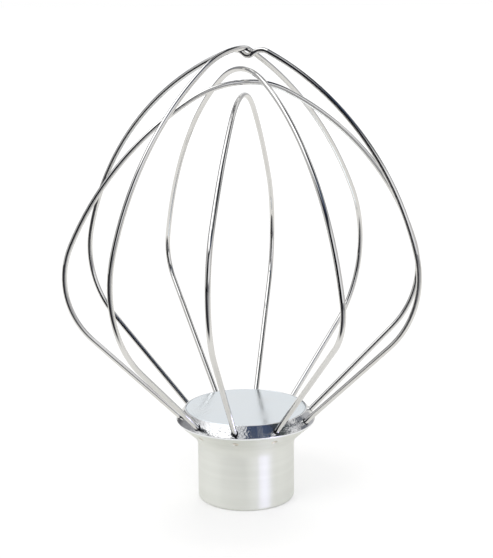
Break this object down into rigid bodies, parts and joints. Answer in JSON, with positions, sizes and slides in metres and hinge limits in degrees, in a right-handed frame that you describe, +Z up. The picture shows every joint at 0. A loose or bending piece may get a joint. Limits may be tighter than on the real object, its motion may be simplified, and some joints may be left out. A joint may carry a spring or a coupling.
{
  "type": "stand mixer wire whip",
  "caption": "Wire whip attachment: nested wire loops spring from a flared turned hub with a flat cap and a shaft bore with a pin slot.",
  "frame": {"origin": "centre of the hub's open foot, on the shaft axis, in the plane the part stands on", "axes": "+Z up the shaft axis from the foot to the crown of the wire cage; +X to the right and +Y away in the pictured view"},
  "size_m": [0.1156, 0.126, 0.148],
  "materials": {
    "hub_aluminium": "fine turned satin, flange bevel polished",
    "cap_metal": "polished flat",
    "wire": "polished stainless wire"
  },
  "bodies": {
    "root": {"hub": "hub_aluminium", "cap_disc": "cap_metal", "loop_dimpled": "wire", "loop_crossing": "wire", "loop_third": "wire", "loop_fourth": "wire", "loop_inner": "wire"}
  },
  "joints": []
}
